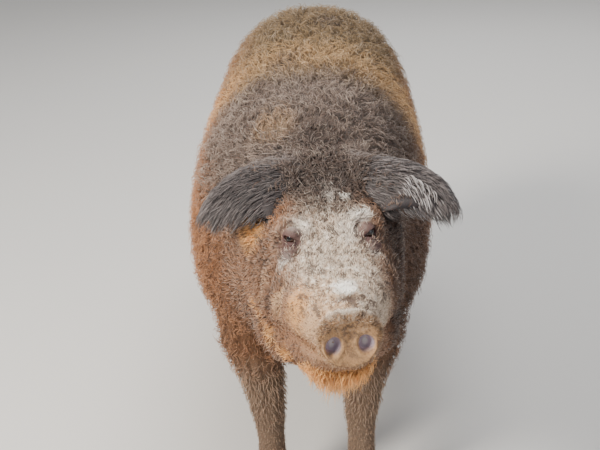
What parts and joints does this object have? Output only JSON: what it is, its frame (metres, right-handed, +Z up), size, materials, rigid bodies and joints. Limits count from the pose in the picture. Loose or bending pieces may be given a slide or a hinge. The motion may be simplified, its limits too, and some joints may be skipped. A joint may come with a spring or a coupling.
{
  "type": "curly-coated pig model",
  "caption": "Life-size still model of a standing curly-coated mangalica pig, head turned slightly, on cloven hooves with flat soles.",
  "frame": {"origin": "on the floor under the middle of the pig's bounding box", "axes": "+Z up, the pig faces -Y, its left side is +X"},
  "size_m": [0.518, 1.6092, 0.8124],
  "materials": {
    "fleece": "matte curly hair, orange-brown flanks and mud-grey back",
    "face": "short hair with dry pale mud",
    "chin_hair": "long orange-brown chin hair",
    "snout_skin": "damp grey-brown skin",
    "ear_hair": "dark grey silky hair",
    "leg_hair": "short muddy brown hair",
    "eye": "wet dark brown",
    "claw_horn": "dull dark horn"
  },
  "bodies": {
    "root": {"rump": "fleece", "barrel": "fleece", "chest": "fleece", "neck": "fleece", "head": "face", "jaw": "chin_hair", "snout": "snout_skin", "ear_left": "ear_hair", "eye_left": "eye", "foreleg_left": "leg_hair", "foreleg_left_claw_inner": "claw_horn", "foreleg_left_dewclaw_inner": "claw_horn", "foreleg_left_claw_outer": "claw_horn", "foreleg_left_dewclaw_outer": "claw_horn", "hindleg_left": "leg_hair", "hindleg_left_claw_inner": "claw_horn", "hindleg_left_dewclaw_inner": "claw_horn", "hindleg_left_claw_outer": "claw_horn", "hindleg_left_dewclaw_outer": "claw_horn", "ear_right": "ear_hair", "eye_right": "eye", "foreleg_right": "leg_hair", "foreleg_right_claw_inner": "claw_horn", "foreleg_right_dewclaw_inner": "claw_horn", "foreleg_right_claw_outer": "claw_horn", "foreleg_right_dewclaw_outer": "claw_horn", "hindleg_right": "leg_hair", "hindleg_right_claw_inner": "claw_horn", "hindleg_right_dewclaw_inner": "claw_horn", "hindleg_right_claw_outer": "claw_horn", "hindleg_right_dewclaw_outer": "claw_horn", "tail": "fleece"}
  },
  "joints": []
}
